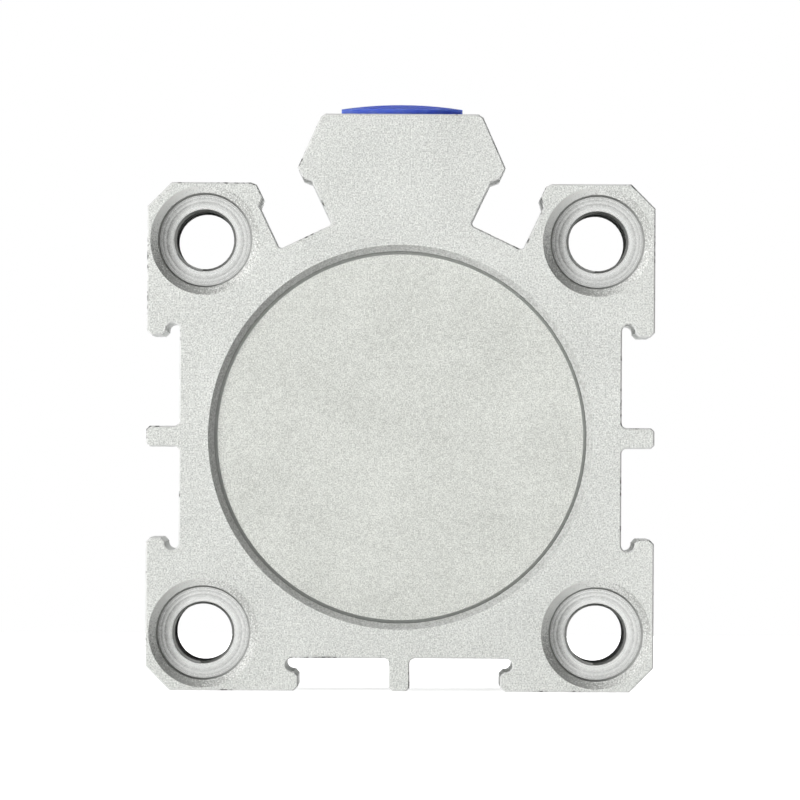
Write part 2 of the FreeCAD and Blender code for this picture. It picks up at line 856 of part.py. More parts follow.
def make_piston_nut():
    """A thin hexagon nut with its outer corners bevelled; the thread is left plain."""
    body = new_body("piston_nut", y="piston_rest + nut_back")
    outline = new_sketch(body, "outline", "XZ_Plane")
    draw_loop(outline, [(f"nut_corner * cos({60 * i})", f"nut_corner * sin({60 * i})") for i in range(6)])
    draw_circle(outline, "0", "0", "tail_radius + fit_gap")
    pad(body, outline, "nut_height")
    bevel = new_sketch(body, "bevel", "YZ_Plane")
    draw_loop(
        bevel,
        [
            ("0", "nut_across / 2"),
            ("nut_bevel", "nut_corner"),
            ("nut_bevel", "nut_corner + nut_bevel"),
            ("-nut_bevel", "nut_corner + nut_bevel"),
            ("-nut_bevel", "nut_across / 2"),
        ],
    )
    turn(body, bevel, cut=True)


def make_rod():
    """The rod: threaded tail, spigot with a seal groove, ground shank, wrench flats, plain thread bore."""
    body = turned_part(
        "piston_rod",
        [
            ("tail_inset", "0"),
            ("tail_inset", "tail_radius - tail_step"),
            ("tail_inset + tail_step", "tail_radius"),
            ("tail_start", "tail_radius"),
            ("tail_start", "spigot_radius"),
            ("spigot_groove_start", "spigot_radius"),
            ("spigot_groove_start", "spigot_radius - spigot_depth"),
            ("spigot_groove_end", "spigot_radius - spigot_depth"),
            ("spigot_groove_end", "spigot_radius"),
            ("piston_length", "spigot_radius"),
            ("piston_length", "rod_radius"),
            ("rod_tip - rod_bevel", "rod_radius"),
            ("rod_tip", "rod_radius - rod_bevel"),
            ("rod_tip", "thread_radius + rod_bore_lead"),
            ("rod_tip - rod_bore_lead", "thread_radius"),
            ("rod_tip - rod_bore_depth", "thread_radius"),
            ("rod_tip - rod_bore_depth - rod_bore_cone", "0"),
        ],
        y="piston_rest",
    )
    flats = new_sketch(body, "flats", "XY_Plane")
    draw_box(flats, "flat_half", "flat_start", "rod_dia", "rod_tip + rod_bevel")
    draw_box(flats, "-rod_dia", "flat_start", "-flat_half", "rod_tip + rod_bevel")
    cut_through(body, flats, both=True)


# Port plugs

def make_plug(label, y):
    """A push-in plug: a low domed flange on a hollow slit stem."""
    body = new_body(label, y, z="boss_top")
    section = new_sketch(body, "section", "YZ_Plane")
    draw_loop(
        section,
        [
            ("0", "-plug_rim"),
            ("stem_hollow", "-plug_rim"),
            ("stem_hollow", "-plug_stem"),
            ("stem_radius - plug_nose", "-plug_stem"),
            ("stem_radius", "plug_nose - plug_stem"),
            ("stem_radius", "0"),
            ("plug_radius", "0"),
            ("plug_radius", "plug_rim", "0", "plug_top - plug_dome", "left"),
            ("0", "plug_top"),
        ],
    )
    turn(body, section, axis="V_Axis")
    slit = new_sketch(body, "slit", "XZ_Plane")
    draw_box(slit, "-plug_slit / 2", "-plug_stem - plug_nose", "plug_slit / 2", "-plug_slit_land")
    pocket = cut_through(body, slit, both=True)
    pattern(body, pocket, "Z_Axis", 180, 2)


make_barrel()
make_head_end()
make_rod_end()
make_piston()
make_rod()
make_plug("head_port_plug", "head_port")
make_plug("rod_port_plug", "rod_port")
doc.recompute()

for item in doc.Objects:
    if "Invalid" in item.State or "Error" in item.State:
        raise RuntimeError(f"{item.Name} failed: {item.State}")
for body in sub_parts:
    if body.Shape.isNull() or not body.Shape.isValid() or len(body.Shape.Solids) != 1:
        raise RuntimeError(f"{body.Label} is not one valid solid")

os.makedirs("parts", exist_ok=True)
for body in sub_parts:
    body.Shape.exportStep(f"parts/{body.Label}.step")
    box = body.Shape.BoundBox
    print(
        f"{body.Label}: volume {body.Shape.Volume:.1f},"
        f" y {box.YMin:.2f} to {box.YMax:.2f}, z {box.ZMin:.2f} to {box.ZMax:.2f}"
    )
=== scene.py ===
# %% [markdown]
# # A compact air cylinder, dressed for its picture
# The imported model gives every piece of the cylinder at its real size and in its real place. What it
# lacks is what a camera sees: blasted and machined finishes, screw threads, a floor and light. This
# lesson adds those and leaves the model where it is. Lengths are in metres in the model's own frame:
# the bore runs along Y with the rear end towards the camera, X points right and Z points up.

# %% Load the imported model
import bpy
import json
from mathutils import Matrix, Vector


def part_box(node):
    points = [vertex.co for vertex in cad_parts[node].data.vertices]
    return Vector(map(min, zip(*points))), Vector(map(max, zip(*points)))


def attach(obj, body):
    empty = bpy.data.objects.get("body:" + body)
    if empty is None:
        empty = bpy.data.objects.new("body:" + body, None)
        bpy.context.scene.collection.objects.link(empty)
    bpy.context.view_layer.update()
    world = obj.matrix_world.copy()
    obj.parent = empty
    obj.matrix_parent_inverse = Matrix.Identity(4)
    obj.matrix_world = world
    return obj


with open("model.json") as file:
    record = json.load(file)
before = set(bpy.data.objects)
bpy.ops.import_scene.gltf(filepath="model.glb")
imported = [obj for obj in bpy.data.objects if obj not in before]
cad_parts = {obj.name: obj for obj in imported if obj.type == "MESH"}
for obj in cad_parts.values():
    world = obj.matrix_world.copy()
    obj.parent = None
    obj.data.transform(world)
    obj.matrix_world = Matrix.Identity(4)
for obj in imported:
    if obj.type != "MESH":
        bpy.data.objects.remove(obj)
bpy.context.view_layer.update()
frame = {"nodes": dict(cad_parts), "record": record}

# %% Modules and units
import json
import math
from collections import Counter

import bmesh
import bpy
from mathutils import Quaternion, Vector

MM = 0.001
scene = bpy.context.scene
print("Pieces in the model:", len(frame["nodes"]))

# %% [markdown]
# ## Places that the looks depend on
# A finish often has to know where it is: rings left by a cutter run round the hole that it cut. So
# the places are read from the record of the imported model, not typed in again, and a change of the
# model carries over by itself.

# %% Read the places
mounts = {mount["name"]: mount for mount in frame["record"]["mounts"]}
barrel_low, barrel_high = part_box("barrel")
cover_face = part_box("head_cover")[0].y
rear_face = barrel_low.y
front_face = barrel_high.y
hole_offset = mounts["rear_bolts"]["dims"]["spacing_x_mm"] * MM / 2
hole_wall = mounts["rear_bolts"]["dims"]["hole_r_mm"] * MM
hole_floors = [mounts["rear_bolts"]["pos_m"][1], mounts["front_bolts"]["pos_m"][1]]
ports = [Vector(mounts[name]["pos_m"]) for name in ("head_port", "rod_port")]
port_wall = mounts["head_port"]["dims"]["r_mm"] * MM
print("Corner holes sit", round(hole_offset / MM, 2), "mm from the bore axis, ports at y =",
      [round(port.y / MM, 2) for port in ports], "mm")

# %% [markdown]
# ## Helpers for building finishes
# A Blender material is a graph of nodes, and so is the world round the scene. Written out one call
# at a time such a graph is long, so four helpers shorten it: one feeds a socket by a value or by a
# link, one adds a node, one does a step of arithmetic and one starts a finish with its Principled
# shader. Values that are the same all over a surface go straight onto the shader's own sockets.

# %% Node helpers
def feed(owner, value, socket):
    """Links another node's output to a socket, or sets the socket to a plain value."""
    if isinstance(value, bpy.types.NodeSocket):
        owner.node_tree.links.new(value, socket)
    else:
        socket.default_value = value


def add(owner, kind, inputs=None, **settings):
    """Adds one node to a material or the world; settings are its properties and inputs its sockets."""
    node = owner.node_tree.nodes.new("ShaderNode" + kind)
    for name, value in settings.items():
        setattr(node, name, value)
    for name, value in (inputs or {}).items():
        feed(owner, value, node.inputs[name])
    return node


def calculate(owner, operation, first, second=0.0):
    """One step of arithmetic on sockets or numbers."""
    return add(owner, "Math", {0: first, 1: second}, operation=operation).outputs[0]


def start_finish(name, colour, metallic, roughness):
    """A new material with a Principled shader that has an even colour, for a start."""
    finish = bpy.data.materials.new(name)
    finish.use_nodes = True
    shader = finish.node_tree.nodes["Principled BSDF"]
    shader.inputs["Base Color"].default_value = (*colour, 1.0)
    shader.inputs["Metallic"].default_value = metallic
    shader.inputs["Roughness"].default_value = roughness
    return finish, shader


print("Node helpers ready")

# %% [markdown]
# ## The picture's white world
# The cylinder is shown on plain white. A white world could light everything from all sides, but then
# nothing would have a shaded side. Blender's Light Path node lets one world play three parts. The
# camera sees plain white. Mirror-like surfaces see white that dims towards the zenith, so that metal
# faces which look different ways differ in tone. The rays that light matt surfaces see a dim sky. The
# view transform is Standard, so that a colour comes out as it is written.

# %% Set up the world
SKY_STRENGTH = 0.04
MIRRORED_ZENITH = 0.55

scene.view_settings.view_transform = "Standard"
world = bpy.data.worlds.new("white_room")
world.use_nodes = True
world.node_tree.nodes.clear()
scene.world = world
rays = add(world, "LightPath")
direct = calculate(world, "MAXIMUM", rays.outputs["Is Camera Ray"], rays.outputs["Is Transmission Ray"])
heading = add(world, "SeparateXYZ", {"Vector": add(world, "TexCoord").outputs["Generated"]})
grade = add(world, "MapRange", {"Value": heading.outputs["Z"], "To Min": 1.0, "To Max": MIRRORED_ZENITH})
mirrored = calculate(world, "MULTIPLY", rays.outputs["Is Glossy Ray"], grade.outputs["Result"])
seen = calculate(world, "MAXIMUM", direct, mirrored)
strength = calculate(world, "MAXIMUM", seen, SKY_STRENGTH)
sky = add(world, "Background", {"Color": (1.0, 1.0, 1.0, 1.0), "Strength": strength})
add(world, "OutputWorld", {"Surface": sky.outputs["Background"]})
print("World: white to the camera, strength", SKY_STRENGTH, "as a light")

# %% [markdown]
# ## Helpers for grain, tool marks and colour
# Metal is never one even colour. Blasting leaves fine lumps, a lathe leaves rings and an extrusion
# die leaves lines. All of these are noise in some system of coordinates: lumps in plain space, rings
# in the distance from an axis, lines in space that is squeezed along the die. The coordinates come
# from the piece itself, in millimetres, so the marks move with it.

# %% Pattern helpers
def place_in_mm(finish):
    """Where a spot is on the piece, in millimetres of the model's frame."""
    place = add(finish, "TexCoord").outputs["Object"]
    scaled = add(finish, "VectorMath", {0: place, "Scale": 1 / MM}, operation="SCALE")
    return scaled.outputs["Vector"]


def lumps(finish, place, size, detail=2.0, squeeze=(1.0, 1.0, 1.0)):
    """Noise with lumps about size millimetres across, drawn out along an axis by a small squeeze."""
    squeezed = add(finish, "Mapping", {"Vector": place, "Scale": squeeze}).outputs["Vector"]
    noise = add(finish, "TexNoise", {"Vector": squeezed, "Scale": 1 / size, "Detail": detail})
    return noise.outputs["Fac"]


def weigh(finish, *parts):
    """A sum of factors, each given with its weight."""
    total = 0.0
    for factor, weight in parts:
        total = calculate(finish, "ADD", total, calculate(finish, "MULTIPLY", factor, weight))
    return total


def distance_from_axes(finish, place, axes, offsets, middles):
    """Distance, in mm, to the nearest of some parallel axes that mirror each other."""
    split = add(finish, "SeparateXYZ", {"Vector": place})
    sides = []
    for axis, offset, middle in zip(axes, offsets, middles):
        from_middle = calculate(finish, "SUBTRACT", split.outputs[axis], middle)
        side = calculate(finish, "ABSOLUTE", from_middle)
        sides.append(calculate(finish, "SUBTRACT", side, offset))
    flat = add(finish, "CombineXYZ", {"X": sides[0], "Y": sides[1]})
    return add(finish, "VectorMath", {0: flat.outputs["Vector"]}, operation="LENGTH").outputs["Value"]


def rings(finish, place, distance, along, width, slope=0.37):
    """Noise in rings about width millimetres wide, on floors and on walls that lie round an axis."""
    split = add(finish, "SeparateXYZ", {"Vector": place})
    depth = calculate(finish, "MULTIPLY", split.outputs[along], slope)
    travel = calculate(finish, "ADD", distance, depth)
    noise = add(
        finish, "TexNoise", {"W": travel, "Scale": 1 / width, "Detail": 2.0}, noise_dimensions="1D"
    )
    return noise.outputs["Fac"]


def colour_by(finish, factor, dark, pale, low=0.3, high=0.7):
    """A colour that runs from dark to pale as the factor goes from low to high."""
    ramp = add(finish, "ValToRGB", {"Fac": factor})
    first, last = ramp.color_ramp.elements
    first.position, first.color = low, (*dark, 1.0)
    last.position, last.color = high, (*pale, 1.0)
    return ramp.outputs["Color"]


def number_by(finish, factor, least, most, low=0.3, high=0.7):
    """A number that runs from least to most as the factor goes from low to high."""
    span = add(
        finish, "MapRange",
        {"Value": factor, "From Min": low, "From Max": high, "To Min": least, "To Max": most},
    )
    return span.outputs["Result"]


def roughen(finish, shader, height, depth):
    """Turns a factor into relief that is depth metres deep."""
    bump = add(finish, "Bump", {"Height": height, "Distance": depth})
    feed(finish, bump.outputs["Normal"], shader.inputs["Normal"])


print("Pattern helpers ready")

# %% [markdown]
# ## Blasted aluminium
# The sawn ends of the barrel and the face of the head cover are blasted with fine shot and then
# anodised. The result is pale, matt and full of tiny lumps, coarser on the barrel than on the cover.
# The bevel round the cover gets a darker, duller copy of the blasted finish; its darker colour is painted
# shade. The lumps could be modelled, but they are a tenth of a millimetre across, so relief in the shader
# does it: two noises for fine and coarse lumps, and a wide one for faint patches in the colour.

# %% Make the blasted finishes
def make_blasted(name, pale, dark, lump, depth, roughness, metallic):
    """A matt finish of lumps about lump mm across and depth metres deep."""
    finish, shader = start_finish(name, pale, metallic, roughness)
    shader.inputs["Specular IOR Level"].default_value = 0.25
    place = place_in_mm(finish)
    fine = lumps(finish, place, lump)
    coarse = lumps(finish, place, 3 * lump)
    patches = lumps(finish, place, 6.0, detail=3.0)
    mixed = weigh(finish, (fine, 0.7), (coarse, 0.2), (patches, 0.1))
    feed(finish, colour_by(finish, mixed, dark, pale, 0.36, 0.64), shader.inputs["Base Color"])
    feed(finish, number_by(finish, fine, roughness - 0.08, roughness + 0.08), shader.inputs["Roughness"])
    roughen(finish, shader, fine, depth)
    return finish


blasted_end = make_blasted(
    "blasted_end", (0.9, 0.915, 0.88), (0.46, 0.47, 0.45), 0.13, 0.018 * MM, 0.55, 0.1
)
blasted_cover = make_blasted(
    "blasted_cover", (0.84, 0.855, 0.81), (0.46, 0.47, 0.44), 0.12, 0.016 * MM, 0.55, 0.1
)
# The bevel's darker copy of the blasted colour is painted shade.
bevel_painted_shade = make_blasted(
    "bevel_painted_shade", (0.62, 0.63, 0.61), (0.34, 0.345, 0.33), 0.16, 0.012 * MM, 0.6, 0.0
)
print("Blasted finishes:", blasted_end.name, blasted_cover.name, bevel_painted_shade.name)

# %% [markdown]
# ## Extruded aluminium
# The long sides come straight from the die. They have a satin gloss, are smoother than the ends and
# carry faint lines that run the whole length of the barrel. Noise that is drawn out along Y gives
# those lines, and a fine plain noise gives the satin.

# %% Make the extruded finish
def make_extruded(name):
    """A satin finish with lines along Y."""
    pale, dark = (0.77, 0.78, 0.765), (0.66, 0.67, 0.655)
    finish, shader = start_finish(name, pale, 0.55, 0.4)
    place = place_in_mm(finish)
    lines = lumps(finish, place, 0.22, detail=3.0, squeeze=(1.0, 0.012, 1.0))
    satin = lumps(finish, place, 0.12)
    feed(finish, colour_by(finish, lines, dark, pale), shader.inputs["Base Color"])
    feed(finish, number_by(finish, lines, 0.34, 0.48), shader.inputs["Roughness"])
    roughen(finish, shader, weigh(finish, (lines, 1.0), (satin, 0.5)), 0.006 * MM)
    return finish


extruded_side = make_extruded("extruded_side")
print("Extruded finish:", extruded_side.name)

# %% [markdown]
# ## Machined cuts
# Holes, threads, ports and the bore are cut by rotating tools, and each tool leaves rings round its own
# axis. The walls of the corner holes are rougher and darker than their floors, and the tapped walls are
# darkest, which is painted shade inside the holes. One function makes the finish for any set of axes. The
# four corner holes mirror each other, so the distance is taken from the nearest of them.

# %% Make the machined finishes
HOLE_OFFSET_MM = hole_offset / MM
PORT_MIDDLE_MM = (ports[0].y + ports[1].y) / 2 / MM
PORT_HALF_GAP_MM = (ports[1].y - ports[0].y) / 2 / MM
BORE_AXIS = ("XZ", "Y", (0.0, 0.0), (0.0, 0.0))
HOLE_AXES = ("XZ", "Y", (HOLE_OFFSET_MM, HOLE_OFFSET_MM), (0.0, 0.0))
PORT_AXES = ("XY", "Z", (0.0, PORT_HALF_GAP_MM), (0.0, PORT_MIDDLE_MM))
GRIT_MM = 0.18


def tool_marks(finish, place, cut_round, ring):
    """Rings about ring mm wide round some axes, with a little grit in them."""
    across, along, offsets, middles = cut_round
    distance = distance_from_axes(finish, place, across, offsets, middles)
    marks = rings(finish, place, distance, along, ring)
    return weigh(finish, (marks, 0.7), (lumps(finish, place, GRIT_MM), 0.3))


def make_machined(name, cut_round, ring, depth, roughness, pale, dark, metallic=0.95):
    """A finish of tool marks that are depth metres deep, paler and rougher on their crests."""
    finish, shader = start_finish(name, pale, metallic, roughness)
    marks = tool_marks(finish, place_in_mm(finish), cut_round, ring)
    feed(finish, colour_by(finish, marks, dark, pale, 0.35, 0.65), shader.inputs["Base Color"])
    feed(finish, number_by(finish, marks, roughness - 0.06, roughness + 0.08), shader.inputs["Roughness"])
    roughen(finish, shader, marks, depth)
    return finish


bore_cut = make_machined(
    "bore_cut", BORE_AXIS, 0.1, 0.004 * MM, 0.26, (0.74, 0.75, 0.735), (0.58, 0.59, 0.575)
)
port_cut = make_machined(
    "port_cut", PORT_AXES, 0.12, 0.006 * MM, 0.32, (0.80, 0.81, 0.79), (0.62, 0.63, 0.61)
)
sink_wall = make_machined(
    "sink_wall", HOLE_AXES, 0.3, 0.008 * MM, 0.55, (0.6, 0.605, 0.59), (0.4, 0.405, 0.395), 0.5
)
thread_cut = make_machined(
    "thread_cut", HOLE_AXES, 0.15, 0.008 * MM, 0.45, (0.62, 0.63, 0.61), (0.34, 0.345, 0.335), 0.6
)
# Painted shade: the tapped walls are coloured very dark to stand for the shade inside the holes.
tapped_wall_painted_shade = make_machined(
    "tapped_wall_painted_shade", HOLE_AXES, 0.2, 0.008 * MM, 0.65, (0.2, 0.2, 0.195), (0.07, 0.07, 0.068), 0.2
)
machined = (bore_cut, port_cut, sink_wall, thread_cut, tapped_wall_painted_shade)
print("Machined finishes:", ", ".join(cut.name for cut in machined))

# %% [markdown]
# ## Floors of the counterbores
# The floor of each counterbore is spot-faced, which leaves bright, coarse rings. Towards the left of each
# hole the floor's colour is darkened with painted shade, so this finish has to know on which side of its
# hole a spot lies.

# %% Make the finish of the counterbore floors
def sides_of_hole(finish, place, reach):
    """How far a spot lies to the right of its corner hole's axis and above it, in shares of reach mm."""
    split = add(finish, "SeparateXYZ", {"Vector": place})
    offsets = []
    for axis in "XZ":
        side = calculate(finish, "ABSOLUTE", split.outputs[axis])
        outward = calculate(finish, "SUBTRACT", side, HOLE_OFFSET_MM)
        offset = calculate(finish, "MULTIPLY", outward, calculate(finish, "SIGN", split.outputs[axis]))
        offsets.append(calculate(finish, "DIVIDE", offset, reach))
    return offsets


def make_spot_faced(name, pale, dark, reach):
    """Bright rings, with painted shade that darkens them towards the left of each corner hole."""
    finish, shader = start_finish(name, pale, 1.0, 0.22)
    place = place_in_mm(finish)
    right = sides_of_hole(finish, place, reach)[0]
    marks = tool_marks(finish, place, HOLE_AXES, 0.32)
    # Painted shade: the floor's colour runs darker towards the left of each hole.
    painted_left_shade = number_by(finish, right, -0.36, 0.0, -0.9, -0.3)
    tone = calculate(finish, "ADD", marks, painted_left_shade)
    feed(finish, colour_by(finish, tone, dark, pale, 0.0, 0.65), shader.inputs["Base Color"])
    feed(finish, number_by(finish, marks, 0.16, 0.3), shader.inputs["Roughness"])
    roughen(finish, shader, marks, 0.005 * MM)
    return finish


COUNTERBORE_MM = 4.1
counterbore_cut = make_spot_faced(
    "counterbore_cut", (0.87, 0.88, 0.86), (0.2, 0.202, 0.196), COUNTERBORE_MM
)
print("Counterbore floors:", counterbore_cut.name)

# %% [markdown]
# ## Bevels cut by hand
# The mouths of the corner holes are deburred by hand. Painted shade darkens this bevel most at the lower
# left and the upper right of each hole and least at the upper left, so its colour changes round each hole,
# with the grain of the blasted face on top.

# %% Make the finish of the hand-cut bevels
def make_deburred(name, pale, dark, reach):
    """Blasted grain, with painted shade that darkens some sides of each corner hole more than others."""
    finish, shader = start_finish(name, pale, 0.0, 0.6)
    shader.inputs["Specular IOR Level"].default_value = 0.25
    place = place_in_mm(finish)
    right, up = sides_of_hole(finish, place, reach)
    # Painted shade: darkest at the lower left and upper right of each hole, palest at the upper left.
    diagonal_shade = calculate(finish, "MULTIPLY", right, up)
    painted_side_shade = weigh(finish, (right, -0.08), (up, 0.14), (diagonal_shade, -0.3))
    grain = lumps(finish, place, 0.13)
    mixed = calculate(finish, "ADD", grain, painted_side_shade)
    feed(finish, colour_by(finish, mixed, dark, pale), shader.inputs["Base Color"])
    roughen(finish, shader, grain, 0.014 * MM)
    return finish


BEVEL_MM = 4.4
deburred = make_deburred("deburred", (0.94, 0.95, 0.92), (0.36, 0.365, 0.35), BEVEL_MM)
print("Hand-cut bevel:", deburred.name)

# %% [markdown]
# ## Broken edges
# The saw leaves a burr along the outline of both ends, which is knocked off by hand. The narrow
# bevel that remains is bright in some places and dark with dirt and tears in others. The bevel is
# real geometry, so only its uneven colour is made here.

# %% Make the edge finish
def make_broken_edge(name):
    """Bright metal with dark runs along the edge and small tears in them."""
    pale, dark = (0.74, 0.745, 0.73), (0.1, 0.1, 0.098)
    finish, shader = start_finish(name, pale, 0.3, 0.5)
    place = place_in_mm(finish)
    runs = lumps(finish, place, 2.6)
    tears = lumps(finish, place, 0.35, detail=3.0)
    mixed = weigh(finish, (runs, 0.6), (tears, 0.4))
    feed(finish, colour_by(finish, mixed, dark, pale, 0.36, 0.46), shader.inputs["Base Color"])
    roughen(finish, shader, tears, 0.02 * MM)
    return finish


broken_edge = make_broken_edge("broken_edge")
print("Edge finish:", broken_edge.name)

# %% [markdown]
# ## Sorting the barrel's faces
# The barrel is one piece of metal with several finishes. Its mesh could be cut up, but the model must
# stay whole, and Blender lets each face of a mesh choose one of the mesh's material slots. A face is
# sorted by where its middle lies and which way it looks: 1 is square to an axis and 0 is along it.

# %% Dress the barrel
SINK_REACH = 4.85 * MM
BEVEL_DEPTH = 0.7 * MM
BORE_REACH = 18.2 * MM
PORT_REACH = 5.6 * MM
PORT_SEAT = 19.0 * MM
EDGE_DEPTH = 0.13 * MM
SKIN = 0.005 * MM
SQUARE = 0.99
FLOOR_SLANT = 0.9
BEVEL_SLANT = 0.3
EDGE_SLANT = 0.2


def barrel_region(spot, facing):
    """Names the finish of the face of the barrel whose middle is at a spot."""
    from_hole = math.hypot(abs(spot.x) - hole_offset, abs(spot.z) - hole_offset)
    from_bore = math.hypot(spot.x, spot.z)
    from_port = min(math.hypot(spot.x, spot.y - port.y) for port in ports)
    from_end = min(spot.y - rear_face, front_face - spot.y)
    if from_end < SKIN and abs(facing.y) > SQUARE:
        return "end"
    if from_end < BEVEL_DEPTH and BEVEL_SLANT < abs(facing.y) < FLOOR_SLANT:
        if from_hole < SINK_REACH:
            return "deburred"
        if from_bore < BORE_REACH:
            return "bevel"
    if from_hole < hole_wall + SKIN:
        return "tapped"
    if from_hole < SINK_REACH:
        return "hole" if abs(facing.y) > FLOOR_SLANT else "sink"
    if from_port < PORT_REACH and spot.z > PORT_SEAT and abs(facing.z) < SQUARE:
        return "port"
    if from_bore < BORE_REACH:
        return "bore"
    if from_end < EDGE_DEPTH and abs(facing.y) > EDGE_SLANT:
        return "edge"
    return "side"


def dress(node, finishes, region=None):
    """Fills a CAD node's material slots; region picks a finish by name for each face."""
    mesh = frame["nodes"][node].data
    mesh.materials.clear()
    for finish in finishes.values():
        mesh.materials.append(finish)
    names = list(finishes)
    counts = Counter()
    for face in mesh.polygons:
        name = region(face.center, face.normal) if region else names[0]
        face.material_index = names.index(name)
        counts[name] += 1
    print(node, dict(counts))


dress(
    "barrel",
    {
        "end": blasted_end, "side": extruded_side, "edge": broken_edge, "bevel": bevel_painted_shade,
        "deburred": deburred, "sink": sink_wall, "hole": counterbore_cut, "tapped": tapped_wall_painted_shade,
        "bore": bore_cut, "port": port_cut,
    },
    barrel_region,
)

# %% [markdown]
# ## Covers, rod and snap ring
# The head cover shows only its blasted face; its rim was turned. The rod is ground and hard chrome
# plated, so it is nearly a mirror with very fine rings round it. The snap ring is spring steel with
# a dark phosphate coat that holds oil.

# %% Dress the covers, the rod and the snap ring
def cover_region(spot, facing):
    """The head cover's outer face is blasted, the rest is turned."""
    return "face" if facing.y < -SQUARE and spot.y < cover_face + SKIN else "turned"


turned_cover = make_machined(
    "turned_cover", BORE_AXIS, 0.12, 0.006 * MM, 0.34, (0.78, 0.79, 0.775), (0.6, 0.61, 0.595)
)
ground_chrome = make_machined(
    "ground_chrome", BORE_AXIS, 0.03, 0.0008 * MM, 0.14, (0.72, 0.73, 0.74), (0.62, 0.63, 0.64)
)
turned_piston = make_machined(
    "turned_piston", BORE_AXIS, 0.12, 0.006 * MM, 0.36, (0.72, 0.73, 0.72), (0.55, 0.56, 0.55)
)


def make_phosphate(name):
    """A dark coat of fine crystals."""
    pale, dark = (0.09, 0.088, 0.085), (0.035, 0.034, 0.034)
    finish, shader = start_finish(name, pale, 0.6, 0.45)
    place = place_in_mm(finish)
    crystals = lumps(finish, place, 0.15, detail=3.0)
    feed(finish, colour_by(finish, crystals, dark, pale), shader.inputs["Base Color"])
    feed(finish, number_by(finish, crystals, 0.36, 0.55), shader.inputs["Roughness"])
    roughen(finish, shader, crystals, 0.006 * MM)
    return finish


phosphate = make_phosphate("phosphate_steel")
dress("head_cover", {"face": blasted_cover, "turned": turned_cover}, cover_region)
dress("rod_cover", {"turned": turned_cover})
dress("piston_rod", {"chrome": ground_chrome})
dress("piston_front", {"turned": turned_piston})
dress("piston_rear", {"turned": turned_piston})
dress("retaining_ring", {"phosphate": phosphate})

# %% [markdown]
# ## Plastic and rubber pieces
# The shipping plugs are soft blue polyethylene: a little light enters them, and the mould leaves a
# faint unevenness. The seals are black nitrile, the bumpers cast urethane, and the inner rings are
# resin, bonded ferrite and bronze. All are matt and slightly mottled, so one function makes them.

# %% Dress the plastic and rubber pieces
def make_moulded(name, pale, dark, lump, depth, roughness, metallic=0.0, glow=0.0):
    """A mottled finish; glow is the share of light that enters the piece and spreads in it."""
    finish, shader = start_finish(name, pale, metallic, roughness)
    place = place_in_mm(finish)
    mottle = lumps(finish, place, lump, detail=3.0)
    feed(finish, colour_by(finish, mottle, dark, pale), shader.inputs["Base Color"])
    feed(finish, number_by(finish, mottle, roughness - 0.06, roughness + 0.06), shader.inputs["Roughness"])
    roughen(finish, shader, mottle, depth)
    if glow:
        shader.inputs["Specular IOR Level"].default_value = 0.05
        shader.inputs["Subsurface Weight"].default_value = glow
        shader.inputs["Subsurface Radius"].default_value = (0.4, 0.5, 1.0)
        shader.inputs["Subsurface Scale"].default_value = 6.0 * MM
    return finish


plug_plastic = make_moulded(
    "plug_plastic", (0.085, 0.13, 0.93), (0.065, 0.105, 0.83), 0.8, 0.01 * MM, 0.6, glow=1.0
)
inner_looks = (
    ("seal_rubber", (0.035, 0.035, 0.036), (0.018, 0.018, 0.019), 0.3, 0.006 * MM, 0.55),
    ("bumper_rubber", (0.45, 0.32, 0.16), (0.36, 0.25, 0.12), 0.5, 0.008 * MM, 0.5),
    ("bush_bronze", (0.55, 0.40, 0.22), (0.38, 0.27, 0.14), 0.15, 0.01 * MM, 0.45, 0.9),
    ("magnet_rubber", (0.09, 0.085, 0.085), (0.05, 0.048, 0.048), 0.2, 0.008 * MM, 0.6),
    ("wear_resin", (0.7, 0.66, 0.56), (0.58, 0.54, 0.45), 0.25, 0.006 * MM, 0.5),
    ("nut_steel", (0.6, 0.61, 0.62), (0.48, 0.49, 0.5), 0.2, 0.004 * MM, 0.35, 0.95),
)
inner_finishes = {look[0]: make_moulded(*look) for look in inner_looks}
for piece in frame["record"]["subparts"]:
    if piece["material_slot"] in inner_finishes:
        dress(piece["node"], {"moulded": inner_finishes[piece["material_slot"]]})
for plug in ("head_port_plug", "rod_port_plug"):
    dress(plug, {"plastic": plug_plastic})

# %% [markdown]
# ## Screw threads
# The corner holes are tapped from both ends, and so are the ports and the rod's end. A thread could
# be faked by relief in the shader, but in the mouth of a hole its first turn shows as a real step.
# So each thread is a ridge that climbs the wall as a right-hand helix: a four-sided profile is carried
# round in small steps. It is cut off flush at the mouth of the hole, and at its far end it fades out
# over part of a turn, as a tap's lead does.

# %% Thread helper
STEPS_PER_TURN = 36
FADE_STEPS = 14
FIRST_CUT = 0.08
ROOT_HALF = 0.42
CREST_HALF = 0.1
START_ANGLE = math.radians(-95)
SHARP_ANGLE = math.radians(35)
BURIED = 0.03 * MM


